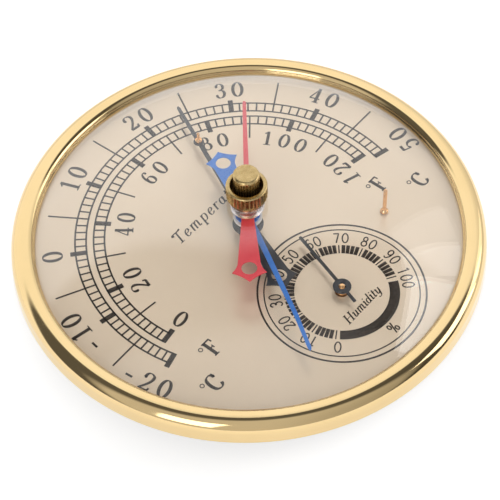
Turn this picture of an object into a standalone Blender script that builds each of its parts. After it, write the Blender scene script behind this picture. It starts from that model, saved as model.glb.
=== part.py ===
"""Round dial thermometer and hygrometer with maximum and minimum markers.

The instrument lies face up on its flat back: +Z leaves the dial, +Y is twelve
o'clock, and the origin is the middle of the back face.  Heights below are
given in millimetres above the back, and mm() turns them into metres.
"""

import math

import bmesh
import bpy
from mathutils import Matrix, Vector


def mm(value):
    return value * 0.001


# Driving dimensions, in millimetres
CASE_RADIUS = 57.5          # cup behind the dial
CASE_WALL = 1.4
BACK_THICKNESS = 1.6
FLANGE_RADIUS = 63.9        # flange that the bezel closes over
DIAL_TOP = 14.5             # height of the printed face
DIAL_RADIUS = 61.0
DIAL_THICKNESS = 0.8
BEZEL_RADIUS = 66.0
BEZEL_CREST = DIAL_TOP + 4.2
CAVITY_RADIUS = 61.3        # inside of the bezel, around dial and crystal
LIP_RADIUS = 60.3           # inner edge of the bezel
CRYSTAL_APEX = DIAL_TOP + 15.25
CRYSTAL_THICKNESS = 1.5
CRYSTAL_RIM = DIAL_TOP + 3.0
CRYSTAL_DOME_RADIUS = 59.7
CRYSTAL_POWER = 3.5         # above 2: flat in the middle, steep at the rim
CRYSTAL_HOLE = 3.4
CRYSTAL_SLEEVE = 4.7        # flange of the clear sleeve under the crystal
CRYSTAL_SLEEVE_LOW = DIAL_TOP + 10.65

GAP = 0.3                   # clearance between neighbouring solids

# Places on the dial
HUMIDITY_CENTRE = 32.7      # below the middle, towards six o'clock
STOP_PIN_RADIUS = 38.2
STOP_PIN_ANGLE = 131.0      # clockwise from twelve o'clock
STOP_PIN_TOP = DIAL_TOP + 9.4

# Where the hands stand, clockwise from twelve o'clock
TEMPERATURE_ANGLE = 24.8
HUMIDITY_ANGLE = 17.0
MAXIMUM_ANGLE = 48.5
MINIMUM_ANGLE = -150.5

# Heights of the hands' undersides
HUMIDITY_HAND_HEIGHT = DIAL_TOP + 2.05
TEMPERATURE_HAND_HEIGHT = DIAL_TOP + 2.95
MINIMUM_HAND_HEIGHT = DIAL_TOP + 7.0
MAXIMUM_HAND_HEIGHT = DIAL_TOP + 8.7
HAND_THICKNESS = 0.35

RING_STEPS = 48
ROD_STEPS = 20

BRIDGE_HEIGHT = 2.9         # underside of both movement bridges
BRIDGE_THICKNESS = 1.2
DIAL_UNDERSIDE = DIAL_TOP - DIAL_THICKNESS

VENT_COUNT = 12
VENT_RADIUS = 24.5
KEYHOLE_Y = 40.0
CASE_SCREW_RADIUS = 62.6
CRYSTAL_SHARES = [0.35, 0.56, 0.71, 0.83, 0.92, 1.0]
COIL_STEPS = 18             # per turn

TAIL_HOLE_PLACE = 19.7      # spade tails, measured from the axis
TAIL_HOLE_RADIUS = 2.1
TAIL_NECK_HALF_WIDTH = 1.3
TAIL_WAIST = 18.1           # from here the sides flare out to the corners
TAIL_WAIST_HALF_WIDTH = 3.05
TAIL_CORNER = 21.2
TAIL_HALF_WIDTH = 4.6
TAIL_END = 24.1
BLADE_HALF_WIDTH = 0.85     # beside the hub
BLADE_TIP_HALF_WIDTH = 0.5
BEND_RADIUS = 36.0          # the markers' tips drop beyond this
PUSH_PIN_RADIUS = 33.4
PIN_BOSS_RADIUS = 1.5       # wide spot of the temperature hand around its pin
PIN_HOLE_RADIUS = 0.75
PIN_RADIUS = 0.42

TEMPERATURE_HUB = 4.3       # hub radii and tip distances of the hands
TEMPERATURE_TIP = 48.4
MAXIMUM_HUB = 3.7
MAXIMUM_TIP = 41.5
MAXIMUM_BEND = 0.25         # drop per millimetre beyond BEND_RADIUS
MINIMUM_HUB = 3.9
MINIMUM_TIP = 46.2
MINIMUM_BEND = 0.2
HUMIDITY_HUB = 2.5
HUMIDITY_TIP = 20.1
HUMIDITY_TAIL = 6.0
HUMIDITY_HALF_WIDTH = 0.45

TEMPERATURE_ARBOR_RADIUS = 1.2
HUMIDITY_ARBOR_RADIUS = 0.7
MINIMUM_ROD_RADIUS = 1.0
TUBE_OUTER = 1.9            # tube of the red marker, around the rod
TUBE_INNER = 1.35

KNOB_BOTTOM = DIAL_TOP + 15.7
OUTER_KNOB_RADIUS = 5.65
OUTER_KNOB_HEIGHT = 4.7
OUTER_KNOB_CUP = 4.3
OUTER_KNOB_FLOOR = 1.3
OUTER_FLUTES = 28
INNER_KNOB_RADIUS = 3.6
INNER_KNOB_HEIGHT = 7.5
INNER_FLUTES = 22

COLOURS = {
    "polished_brass": ((0.86, 0.62, 0.28), 0.12, 1.0),
    "knurled_brass": ((0.70, 0.52, 0.26), 0.28, 1.0),
    "pin_brass": ((0.80, 0.50, 0.26), 0.25, 1.0),
    "crystal": ((0.95, 0.96, 0.97), 0.02, 0.0),
    "clear_nylon": ((0.88, 0.86, 0.84), 0.35, 0.0),
    "champagne_dial": ((0.74, 0.62, 0.48), 0.35, 0.6),
    "black_enamel": ((0.03, 0.03, 0.035), 0.4, 0.0),
    "red_enamel": ((0.75, 0.10, 0.12), 0.4, 0.0),
    "blue_enamel": ((0.10, 0.25, 0.65), 0.4, 0.0),
    "black_case": ((0.04, 0.04, 0.045), 0.55, 0.0),
    "steel": ((0.62, 0.62, 0.63), 0.3, 1.0),
    "bimetal": ((0.66, 0.60, 0.52), 0.35, 1.0),
    "humidity_strip": ((0.55, 0.45, 0.35), 0.6, 0.3),
}


def clear_scene():
    for item in list(bpy.data.objects):
        bpy.data.objects.remove(item, do_unlink=True)


def new_collection(name):
    collection = bpy.data.collections.new(name)
    bpy.context.scene.collection.children.link(collection)
    return collection


def material(name):
    found = bpy.data.materials.get(name)
    if found:
        return found
    colour, roughness, metallic = COLOURS[name]
    made = bpy.data.materials.new(name)
    made.use_nodes = True
    shader = made.node_tree.nodes["Principled BSDF"]
    shader.inputs["Base Color"].default_value = (*colour, 1.0)
    shader.inputs["Roughness"].default_value = roughness
    shader.inputs["Metallic"].default_value = metallic
    return made


def add_object(name, mesh, look):
    item = bpy.data.objects.new(name, mesh)
    mesh.materials.append(material(look))
    PARTS.objects.link(item)
    return item


def add_axis(name, height, y=0.0, angle=0.0):
    """Empty on a turning axis; a hand drawn along +Y then points to the angle."""
    axis = bpy.data.objects.new(name, None)
    axis.location = (0.0, mm(y), mm(height))
    axis.rotation_euler.z = -math.radians(angle)
    axis.empty_display_size = mm(5)
    PARTS.objects.link(axis)
    return axis


def on_axis(item, axis, height=0.0):
    item.parent = axis
    item.location.z = mm(height)
    return item


def turned(name, profile, look, steps=RING_STEPS, closed=True):
    """Solid of revolution about Z.

    The profile holds (radius, height) pairs and runs down the outer side.  An
    open profile starts and ends on the axis.
    """
    mesh = bpy.data.meshes.new(name)
    points = [(mm(radius), 0.0, mm(height)) for radius, height in profile]
    edges = [(index, index + 1) for index in range(len(points) - 1)]
    if closed:
        edges.append((len(points) - 1, 0))
    mesh.from_pydata(points, edges, [])
    item = add_object(name, mesh, look)
    screw = item.modifiers.new("Turn", "SCREW")
    screw.axis = "Z"
    screw.steps = steps
    screw.render_steps = steps
    screw.use_merge_vertices = True
    screw.merge_threshold = 0.00001
    screw.use_smooth_shade = True
    return item


def rod(name, radius, low, high, look, steps=ROD_STEPS):
    profile = [(0.0, high), (radius, high), (radius, low), (0.0, low)]
    return turned(name, profile, look, steps, closed=False)


def tube(name, outer, inner, low, high, look, steps=ROD_STEPS):
    profile = [(outer, high), (outer, low), (inner, low), (inner, high)]
    return turned(name, profile, look, steps)


def arc(centre, radius, start, end, count):
    """Points on an arc in the (radius, height) plane, angles in degrees."""
    points = []
    for index in range(count + 1):
        angle = math.radians(start + (end - start) * index / count)
        points.append((centre[0] + radius[0] * math.cos(angle), centre[1] + radius[1] * math.sin(angle)))
    return points


def cutter_object(name, shapes):
    """One hidden mesh from functions that each add a closed shape to a bmesh."""
    mesh = bpy.data.meshes.new(name)
    builder = bmesh.new()
    for shape in shapes:
        shape(builder)
    builder.to_mesh(mesh)
    builder.free()
    cutter = bpy.data.objects.new(name, mesh)
    cutter.hide_render = True
    cutter.display_type = "WIRE"
    CUTTERS.objects.link(cutter)
    return cutter


def drill_shape(x, y, radius, low, high, steps=16, top_radius=None):
    """Cone or cylinder standing at x, y between two heights."""

    def add(builder):
        middle = Vector((mm(x), mm(y), mm(low + high) / 2))
        bmesh.ops.create_cone(
            builder,
            cap_ends=True,
            segments=steps,
            radius1=mm(radius),
            radius2=mm(radius if top_radius is None else top_radius),
            depth=mm(high - low),
            matrix=Matrix.Translation(middle),
        )

    return add


def box_shape(centre, size, angle=0.0):
    def add(builder):
        place = Matrix.Rotation(math.radians(angle), 4, "Z") @ Matrix.Translation(
            Vector([mm(value) for value in centre])
        )
        scale = Matrix.Diagonal(Vector([mm(value) for value in size] + [1.0]))
        bmesh.ops.create_cube(builder, size=1.0, matrix=place @ scale)

    return add


def cut(item, name, shapes, parent=None):
    cutter = cutter_object(name, shapes)
    cutter.parent = parent
    boolean = item.modifiers.new(name, "BOOLEAN")
    boolean.operation = "DIFFERENCE"
    boolean.solver = "EXACT"
    boolean.object = cutter
    return item


def polar(radius, angle):
    """X and Y of a place on the dial, angle clockwise from twelve o'clock."""
    turn = math.radians(angle)
    return radius * math.sin(turn), radius * math.cos(turn)


# Case


def make_back_case():
    """Cup with a flange for the bezel and a raised rim under the dial."""
    inner = CASE_RADIUS - CASE_WALL
    flange_top = DIAL_TOP - 1.4
    flange_bottom = DIAL_TOP - 2.8
    rim_top = DIAL_UNDERSIDE - GAP
    profile = [
        (0.0, BACK_THICKNESS),
        (inner, BACK_THICKNESS),
        (inner, rim_top),
        (CAVITY_RADIUS - 0.9, rim_top),
        (CAVITY_RADIUS - 0.9, flange_top),
        (FLANGE_RADIUS, flange_top),
        (FLANGE_RADIUS, flange_bottom),
        (CASE_RADIUS, flange_bottom),
        (CASE_RADIUS, 1.5),
        (CASE_RADIUS - 0.5, 0.45),
        (CASE_RADIUS - 1.5, 0.0),
        (0.0, 0.0),
    ]
    item = turned("back_case", profile, "black_case", closed=False)
    cut(item, "case_openings", vent_slots() + adjuster_holes() + [keyhole_entry()])
    cut(item, "keyhole_neck", [keyhole_neck()])
    return cut(item, "case_screw_holes", case_screw_holes())


def vent_slots():
    """Ring of radial slots that let room air reach the two coils."""
    slots = []
    for index in range(VENT_COUNT):
        angle = (index + 0.5) * 360.0 / VENT_COUNT
        slots.append(box_shape((0.0, VENT_RADIUS, BACK_THICKNESS / 2), (2.6, 13.0, 4.0), -angle))
    return slots


def keyhole_entry():
    """Round entry of the hanging hole, wide enough for a screw's head."""
    return drill_shape(0.0, KEYHOLE_Y, 4.2, -1.0, 3.0, 24)


def keyhole_neck():
    """Narrow neck above the entry, where the screw's shank rests."""
    return box_shape((0.0, KEYHOLE_Y + 5.5, 1.2), (4.4, 8.0, 4.8))


def adjuster_holes():
    """Small holes behind the two movements, for a setting tool."""
    return [
        drill_shape(9.0, 0.0, 1.6, -1.0, 3.0),
        drill_shape(7.0, -HUMIDITY_CENTRE, 1.6, -1.0, 3.0),
    ]


def case_screw_places():
    return [polar(CASE_SCREW_RADIUS, angle) for angle in (60.0, 180.0, 300.0)]


def case_screw_holes():
    flange_bottom = DIAL_TOP - 2.8
    holes = []
    for x, y in case_screw_places():
        holes.append(drill_shape(x, y, 1.15, flange_bottom - 1.0, DIAL_TOP - 0.5))
    return holes


def make_case_screws():
    """Three screws through the flange into the bezel, heads behind the flange."""
    head_top = DIAL_TOP - 2.8 - GAP
    for index, (x, y) in enumerate(case_screw_places()):
        profile = [
            (0.0, DIAL_TOP + 1.4),
            (0.8, DIAL_TOP + 1.4),
            (0.8, head_top),
            (1.1, head_top),
            (1.1, head_top - 0.9),
            (0.9, head_top - 1.2),
            (0.0, head_top - 1.2),
        ]
        item = turned(f"case_screw_{index + 1}", profile, "steel", 16, closed=False)
        item.location = (mm(x), mm(y), 0.0)
        cut(item, f"case_screw_slot_{index + 1}", [box_shape((x, y, head_top - 1.2), (2.6, 0.4, 0.8))])


def make_bezel():
    """Rolled ring: bright crest, groove line, flared skirt and inner step."""
    crest = arc((61.5, DIAL_TOP + 0.6), (3.55, 3.6), 72.0, 0.0, 5)
    lip_bottom = CRYSTAL_RIM + GAP
    profile = [
        (LIP_RADIUS, BEZEL_CREST - 0.35),
        (LIP_RADIUS + 0.35, BEZEL_CREST),
        *crest,
        (64.85, DIAL_TOP + 0.25),
        (65.35, DIAL_TOP - 0.3),
        (BEZEL_RADIUS, DIAL_TOP - 2.2),
        (BEZEL_RADIUS - 0.3, DIAL_TOP - 2.8),
        (FLANGE_RADIUS + GAP, DIAL_TOP - 2.8),
        (FLANGE_RADIUS + GAP, DIAL_TOP - 1.1),
        (CAVITY_RADIUS, DIAL_TOP - 1.1),
        (CAVITY_RADIUS, lip_bottom),
        (LIP_RADIUS, lip_bottom),
    ]
    item = turned("bezel", profile, "polished_brass")
    holes = []
    for x, y in case_screw_places():
        holes.append(drill_shape(x, y, 1.15, DIAL_TOP - 3.5, DIAL_TOP + 1.8))
    return cut(item, "bezel_screw_holes", holes)


def make_inner_ring():
    """Sloping gilt ring between the dial's edge and the crystal."""
    profile = [
        (DIAL_RADIUS, CRYSTAL_RIM - 1.2 - GAP),
        (DIAL_RADIUS, DIAL_TOP + GAP),
        (58.8, DIAL_TOP + GAP),
        (58.9, DIAL_TOP + 0.8),
        (59.3, CRYSTAL_RIM - 1.2 - GAP),
    ]
    return turned("inner_ring", profile, "polished_brass")


def dome_height(radius, rim, apex):
    return rim + (apex - rim) * (1.0 - (radius / CRYSTAL_DOME_RADIUS) ** CRYSTAL_POWER)


def make_crystal():
    """Domed window with a flat rim and a hole in the middle for the setting knobs."""
    rim_bottom = CRYSTAL_RIM - 1.2
    radii = [CRYSTAL_HOLE] + [CRYSTAL_DOME_RADIUS * share for share in CRYSTAL_SHARES]
    top = [(radius, dome_height(radius, CRYSTAL_RIM, CRYSTAL_APEX)) for radius in radii]
    under = [(radius, dome_height(radius, rim_bottom, CRYSTAL_APEX - CRYSTAL_THICKNESS)) for radius in radii]
    rim = [(DIAL_RADIUS, CRYSTAL_RIM), (DIAL_RADIUS, rim_bottom)]
    return turned("crystal", top + rim + under[::-1], "crystal")


# Dial and its fixed parts


def make_dial():
    profile = [
        (0.0, DIAL_TOP),
        (DIAL_RADIUS, DIAL_TOP),
        (DIAL_RADIUS, DIAL_UNDERSIDE),
        (0.0, DIAL_UNDERSIDE),
    ]
    item = turned("dial_plate", profile, "champagne_dial", closed=False)
    low = DIAL_UNDERSIDE - 1.0
    high = DIAL_TOP + 1.0
    pin_x, pin_y = polar(STOP_PIN_RADIUS, STOP_PIN_ANGLE)
    holes = [
        drill_shape(0.0, 0.0, 2.9, low, high, 24),
        drill_shape(0.0, -HUMIDITY_CENTRE, 1.9, low, high, 20),
        drill_shape(pin_x, pin_y, 0.85, low, high),
    ]
    return cut(item, "dial_holes", holes)


def make_stop_pin():
    """Pin that both markers stop against, with a small foot on the dial."""
    foot = DIAL_TOP + GAP
    profile = [
        (0.0, STOP_PIN_TOP),
        (0.35, STOP_PIN_TOP),
        (0.55, STOP_PIN_TOP - 0.2),
        (0.55, foot + 1.1),
        (1.15, foot + 0.3),
        (1.15, foot),
        (0.5, foot),
        (0.5, DIAL_UNDERSIDE - 0.9),
        (0.0, DIAL_UNDERSIDE - 0.9),
    ]
    item = turned("stop_pin", profile, "pin_brass", 16, closed=False)
    x, y = polar(STOP_PIN_RADIUS, STOP_PIN_ANGLE)
    item.location = (mm(x), mm(y), 0.0)
    return item


def make_bush(name, y, neck, bore, flange, top):
    """Flanged bearing pushed up through the dial from behind."""
    flange_top = DIAL_UNDERSIDE - GAP
    profile = [
        (neck, top),
        (neck, flange_top),
        (flange, flange_top),
        (flange, flange_top - 0.9),
        (bore, flange_top - 0.9),
        (bore, top),
    ]
    item = turned(name, profile, "pin_brass", ROD_STEPS)
    item.location.y = mm(y)
    return item


def make_crystal_bush():
    """Clear sleeve through the crystal that the setting arbors turn in."""
    underside = CRYSTAL_APEX - CRYSTAL_THICKNESS - GAP
    profile = [
        (3.0, CRYSTAL_APEX + 0.15),
        (3.0, underside),
        (CRYSTAL_SLEEVE, underside),
        (CRYSTAL_SLEEVE, CRYSTAL_SLEEVE_LOW),
        (2.3, CRYSTAL_SLEEVE_LOW),
        (2.3, CRYSTAL_APEX + 0.15),
    ]
    return turned("crystal_bush", profile, "clear_nylon", 24)


# Movements behind the dial


def make_coil(name, y, inner, outer, turns, low, high, thickness, look):
    """Flat spiral strip standing on edge."""
    mesh = bpy.data.meshes.new(name)
    builder = bmesh.new()
    steps = int(turns * COIL_STEPS)
    previous = None
    for index in range(steps + 1):
        share = index / steps
        angle = share * turns * 2.0 * math.pi
        radius = inner + (outer - inner) * share
        x = mm(radius * math.cos(angle))
        y_local = mm(radius * math.sin(angle))
        pair = [builder.verts.new((x, y_local, mm(low))), builder.verts.new((x, y_local, mm(high)))]
        if previous:
            builder.faces.new((previous[0], pair[0], pair[1], previous[1]))
        previous = pair
    builder.to_mesh(mesh)
    builder.free()
    item = add_object(name, mesh, look)
    item.location.y = mm(y)
    solidify = item.modifiers.new("Strip", "SOLIDIFY")
    solidify.thickness = mm(thickness)
    solidify.offset = 0.0
    return item


def make_bridge(name, y, half_length, half_width, bore):
    """Plate behind a coil that carries the arbor's lower bearing."""
    mesh = bpy.data.meshes.new(name)
    builder = bmesh.new()
    middle = BRIDGE_HEIGHT + BRIDGE_THICKNESS / 2
    box_shape((0.0, 0.0, middle), (2 * half_length, 2 * half_width, BRIDGE_THICKNESS))(builder)
    builder.to_mesh(mesh)
    builder.free()
    item = add_object(name, mesh, "steel")
    item.location.y = mm(y)
    bevel = item.modifiers.new("Corners", "BEVEL")
    bevel.width = mm(0.25)
    bevel.segments = 1
    low = BRIDGE_HEIGHT - 1.0
    high = BRIDGE_HEIGHT + BRIDGE_THICKNESS + 1.0
    holes = [drill_shape(0.0, y, bore, low, high)]
    for side in (-1, 1):
        holes.append(drill_shape(side * (half_length - 3.0), y, 1.1, low, high))
    return cut(item, f"{name}_holes", holes)


def make_pillar_and_screw(name, x, y):
    """Threaded pillar under the dial, and the screw that holds the bridge to it."""
    top = DIAL_UNDERSIDE - GAP
    low = BRIDGE_HEIGHT + BRIDGE_THICKNESS + GAP
    profile = [(0.0, top), (2.2, top), (2.2, low), (1.1, low), (1.1, low + 3.4), (0.0, low + 3.4)]
    pillar = turned(f"{name}_pillar", profile, "pin_brass", 16, closed=False)
    pillar.location = (mm(x), mm(y), 0.0)
    head = BRIDGE_HEIGHT - GAP
    profile = [
        (0.0, low + 2.8),
        (0.75, low + 2.8),
        (0.75, head),
        (1.7, head),
        (1.7, head - 0.4),
        (1.3, head - 0.7),
        (0.0, head - 0.7),
    ]
    screw = turned(f"{name}_screw", profile, "steel", 16, closed=False)
    screw.location = (mm(x), mm(y), 0.0)


def make_coil_anchor(name, x, y, low, high):
    """Post under the dial that the coil's outer end is fixed to."""
    item = rod(name, 1.1, low, high, "steel", 16)
    item.location = (mm(x), mm(y), 0.0)
    return item


# Hands


def hand_width(distance, hub, tip):
    """Half width of a hand at a signed distance from its axis, tip positive."""
    if abs(distance) < hub:
        disc = math.sqrt(hub * hub - distance * distance)
    else:
        disc = 0.0
    if distance > 0:
        share = min(1.0, distance / tip)
        blade = BLADE_HALF_WIDTH + (BLADE_TIP_HALF_WIDTH - BLADE_HALF_WIDTH) * share
    else:
        share = min(1.0, -distance / TAIL_WAIST)
        flare = max(0.0, (-distance - TAIL_WAIST) / (TAIL_CORNER - TAIL_WAIST))
        blade = TAIL_NECK_HALF_WIDTH + (TAIL_WAIST_HALF_WIDTH - TAIL_NECK_HALF_WIDTH) * share
        blade += (TAIL_HALF_WIDTH - TAIL_WAIST_HALF_WIDTH) * flare
    return max(disc, blade)


def make_hand(name, look, hub, tip, hub_hole, bend=0.0, boss=None):
    """Flat hand along +Y: spade tail with a round hole, hub disc and slim blade.

    bend lowers the blade beyond BEND_RADIUS by that many millimetres per
    millimetre, and boss is the place of a wider spot with a hole in it.
    """
    stations = [-TAIL_CORNER, -TAIL_WAIST, -TAIL_WAIST * 0.6]
    stations += [-hub * math.cos(math.radians(angle)) for angle in range(18, 180, 18)]
    stations += [tip * 0.35, BEND_RADIUS, tip - 1.5]
    if boss:
        stations = [value for value in stations if abs(value - boss) > 2.0]
        stations += [boss + PIN_BOSS_RADIUS * math.cos(math.radians(angle)) for angle in range(0, 181, 36)]
    stations.sort()
    mesh = bpy.data.meshes.new(name)
    builder = bmesh.new()
    tail_end = builder.verts.new((0.0, -mm(TAIL_END), 0.0))
    previous = None
    for distance in stations:
        half = hand_width(distance, hub, tip)
        if boss and abs(distance - boss) < PIN_BOSS_RADIUS:
            half = max(half, math.sqrt(PIN_BOSS_RADIUS**2 - (distance - boss) ** 2))
        drop = -bend * max(0.0, distance - BEND_RADIUS)
        pair = [
            builder.verts.new((-mm(half), mm(distance), mm(drop))),
            builder.verts.new((mm(half), mm(distance), mm(drop))),
        ]
        if previous:
            builder.faces.new((previous[0], previous[1], pair[1], pair[0]))
        else:
            builder.faces.new((tail_end, pair[1], pair[0]))
        previous = pair
    point = builder.verts.new((0.0, mm(tip), -mm(bend * (tip - BEND_RADIUS))))
    builder.faces.new((previous[0], previous[1], point))
    builder.to_mesh(mesh)
    builder.free()
    item = add_object(name, mesh, look)
    solidify = item.modifiers.new("Sheet", "SOLIDIFY")
    solidify.thickness = mm(HAND_THICKNESS)
    solidify.offset = 1.0
    holes = [
        drill_shape(0.0, 0.0, hub_hole, -3.0, 3.0, 20),
        drill_shape(0.0, -TAIL_HOLE_PLACE, TAIL_HOLE_RADIUS, -3.0, 3.0, 20),
    ]
    if boss:
        holes.append(drill_shape(0.0, boss, PIN_HOLE_RADIUS, -3.0, 3.0, 12))
    return cut(item, f"{name}_holes", holes, item)


def make_temperature_hand():
    """Black hand, collet, push pin and arbor on the thermometer's axis."""
    axis = add_axis("temperature_axis", TEMPERATURE_HAND_HEIGHT, angle=TEMPERATURE_ANGLE)
    hand = make_hand(
        "temperature_hand",
        "black_enamel",
        TEMPERATURE_HUB,
        TEMPERATURE_TIP,
        TEMPERATURE_ARBOR_RADIUS + GAP,
        boss=PUSH_PIN_RADIUS,
    )
    on_axis(hand, axis)
    profile = [(2.6, -GAP), (2.6, -1.1), (1.5, -1.1), (1.5, -GAP)]
    on_axis(turned("temperature_collet", profile, "steel", ROD_STEPS), axis)
    bottom = BRIDGE_HEIGHT + 0.2 - TEMPERATURE_HAND_HEIGHT
    on_axis(rod("temperature_arbor", TEMPERATURE_ARBOR_RADIUS, bottom, 1.0, "steel"), axis)
    profile = [
        (0.0, 3.75),
        (0.25, 3.75),
        (PIN_RADIUS, 3.6),
        (PIN_RADIUS, 1.45),
        (1.0, 1.2),
        (1.0, HAND_THICKNESS + GAP),
        (PIN_RADIUS, HAND_THICKNESS + GAP),
        (PIN_RADIUS, -0.15),
        (0.0, -0.15),
    ]
    pin = on_axis(turned("push_pin", profile, "pin_brass", 16, closed=False), axis)
    pin.location.y = mm(PUSH_PIN_RADIUS)


def make_humidity_hand():
    """Short black hand with a disc hub on the hygrometer's axis."""
    axis = add_axis("humidity_axis", HUMIDITY_HAND_HEIGHT, -HUMIDITY_CENTRE, HUMIDITY_ANGLE)
    stations = [-HUMIDITY_TAIL, -HUMIDITY_HUB - 0.1]
    stations += [-HUMIDITY_HUB * math.cos(math.radians(angle)) for angle in range(15, 166, 15)]
    stations += [HUMIDITY_HUB + 0.1, HUMIDITY_TIP]
    mesh = bpy.data.meshes.new("humidity_hand")
    builder = bmesh.new()
    previous = None
    for distance in stations:
        half = HUMIDITY_HALF_WIDTH
        if abs(distance) < HUMIDITY_HUB:
            half = max(half, math.sqrt(HUMIDITY_HUB**2 - distance**2))
        pair = [
            builder.verts.new((-mm(half), mm(distance), 0.0)),
            builder.verts.new((mm(half), mm(distance), 0.0)),
        ]
        if previous:
            builder.faces.new((previous[0], previous[1], pair[1], pair[0]))
        previous = pair
    builder.to_mesh(mesh)
    builder.free()
    item = on_axis(add_object("humidity_hand", mesh, "black_enamel"), axis)
    solidify = item.modifiers.new("Sheet", "SOLIDIFY")
    solidify.thickness = mm(HAND_THICKNESS)
    solidify.offset = 1.0
    cut(item, "humidity_hand_hole", [drill_shape(0.0, 0.0, HUMIDITY_ARBOR_RADIUS + GAP, -3.0, 3.0)], item)
    bottom = BRIDGE_HEIGHT + 0.2 - HUMIDITY_HAND_HEIGHT
    on_axis(rod("humidity_arbor", HUMIDITY_ARBOR_RADIUS, bottom, 0.6, "pin_brass", 16), axis)


# Setting knobs and markers


def flute_shapes(count, radius, low, high, centre_radius):
    """Upright round grooves spaced around a knob's side."""
    shapes = []
    for index in range(count):
        x, y = polar(centre_radius, index * 360.0 / count)
        shapes.append(drill_shape(x, y, radius, low, high, 6))
    return shapes


def make_maximum_marker():
    """Outer knob, tube and red marker, which turn together."""
    axis = add_axis("maximum_axis", MAXIMUM_HAND_HEIGHT, angle=MAXIMUM_ANGLE)
    marker = make_hand(
        "maximum_marker", "red_enamel", MAXIMUM_HUB, MAXIMUM_TIP, TUBE_INNER + 0.2, bend=MAXIMUM_BEND
    )
    on_axis(marker, axis)
    low = KNOB_BOTTOM - MAXIMUM_HAND_HEIGHT
    high = low + OUTER_KNOB_HEIGHT
    floor = low + OUTER_KNOB_FLOOR
    bore = TUBE_OUTER + GAP
    profile = [
        (OUTER_KNOB_CUP, high - 0.25),
        (OUTER_KNOB_CUP + 0.25, high),
        (OUTER_KNOB_RADIUS - 0.35, high),
        (OUTER_KNOB_RADIUS, high - 0.4),
        (OUTER_KNOB_RADIUS, low + 0.3),
        (OUTER_KNOB_RADIUS - 0.3, low),
        (bore, low),
        (bore, floor),
        (OUTER_KNOB_CUP, floor),
    ]
    knob = on_axis(turned("outer_knob", profile, "knurled_brass", 56), axis)
    flutes = flute_shapes(OUTER_FLUTES, 0.42, low - 0.5, high - 0.8, OUTER_KNOB_RADIUS + 0.15)
    cut(knob, "outer_knob_flutes", flutes, knob)
    tube_bottom = HAND_THICKNESS + GAP
    on_axis(tube("maximum_tube", TUBE_OUTER, TUBE_INNER, tube_bottom, floor - 0.1, "pin_brass"), axis)


def make_minimum_marker():
    """Inner knob, rod, washer and blue marker, which turn together."""
    axis = add_axis("minimum_axis", MINIMUM_HAND_HEIGHT, angle=MINIMUM_ANGLE)
    bore = MINIMUM_ROD_RADIUS + GAP
    marker = make_hand("minimum_marker", "blue_enamel", MINIMUM_HUB, MINIMUM_TIP, bore, bend=MINIMUM_BEND)
    on_axis(marker, axis)
    low = KNOB_BOTTOM + OUTER_KNOB_FLOOR + GAP - MINIMUM_HAND_HEIGHT
    high = low + INNER_KNOB_HEIGHT
    socket = low + 4.0
    profile = [
        (0.0, high),
        (INNER_KNOB_RADIUS - 0.5, high),
        (INNER_KNOB_RADIUS - 0.15, high - 0.15),
        (INNER_KNOB_RADIUS, high - 0.5),
        (INNER_KNOB_RADIUS, low),
        (bore, low),
        (bore, socket),
        (0.0, socket),
    ]
    knob = on_axis(turned("inner_knob", profile, "knurled_brass", 44, closed=False), axis)
    flutes = flute_shapes(INNER_FLUTES, 0.36, low - 0.5, high - 0.9, INNER_KNOB_RADIUS + 0.12)
    cut(knob, "inner_knob_flutes", flutes, knob)
    on_axis(rod("minimum_rod", MINIMUM_ROD_RADIUS, -1.5, socket - 0.5, "steel"), axis)
    rim = MINIMUM_HUB + 0.1
    profile = [(rim, -GAP), (rim, -1.0), (bore, -1.0), (bore, -GAP)]
    on_axis(turned("minimum_washer", profile, "clear_nylon", 24), axis)


def make_friction_washer():
    """Thin sprung washer between the clear sleeve and the red marker's hub."""
    low = MAXIMUM_HAND_HEIGHT + HAND_THICKNESS + 0.9
    return tube("friction_washer", 3.6, 2.25, low, low + 0.4, "pin_brass", 24)


def build():
    make_back_case()
    make_case_screws()
    make_bezel()
    make_inner_ring()
    make_crystal()
    make_crystal_bush()
    make_dial()
    make_stop_pin()
    make_bush("temperature_bush", 0.0, 2.6, 1.5, 4.2, DIAL_TOP + 1.3)
    make_bush("humidity_bush", -HUMIDITY_CENTRE, 1.6, 1.0, 3.0, DIAL_TOP + 1.0)
    make_coil("temperature_coil", 0.0, 2.0, 12.0, 4.75, 5.0, 10.5, 0.5, "bimetal")
    make_coil("humidity_coil", -HUMIDITY_CENTRE, 1.6, 8.5, 3.75, 5.5, 10.0, 0.4, "humidity_strip")
    make_bridge("temperature_bridge", 0.0, 20.0, 5.0, 1.5)
    make_bridge("humidity_bridge", -HUMIDITY_CENTRE, 16.0, 4.0, 1.0)
    for name, y, reach in (("temperature", 0.0, 17.0), ("humidity", -HUMIDITY_CENTRE, 13.0)):
        make_pillar_and_screw(f"{name}_left", -reach, y)
        make_pillar_and_screw(f"{name}_right", reach, y)
    top = DIAL_UNDERSIDE - GAP
    make_coil_anchor("temperature_anchor", 0.0, -13.7, 5.0, top)
    make_coil_anchor("humidity_anchor", 0.0, -HUMIDITY_CENTRE - 10.2, 5.5, top)
    make_temperature_hand()
    make_humidity_hand()
    make_maximum_marker()
    make_minimum_marker()
    make_friction_washer()


clear_scene()
PARTS = new_collection("dial_hygrometer")
CUTTERS = new_collection("cutters")
build()
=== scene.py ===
import math

import bmesh
import bpy
from mathutils import Matrix, Vector


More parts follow.
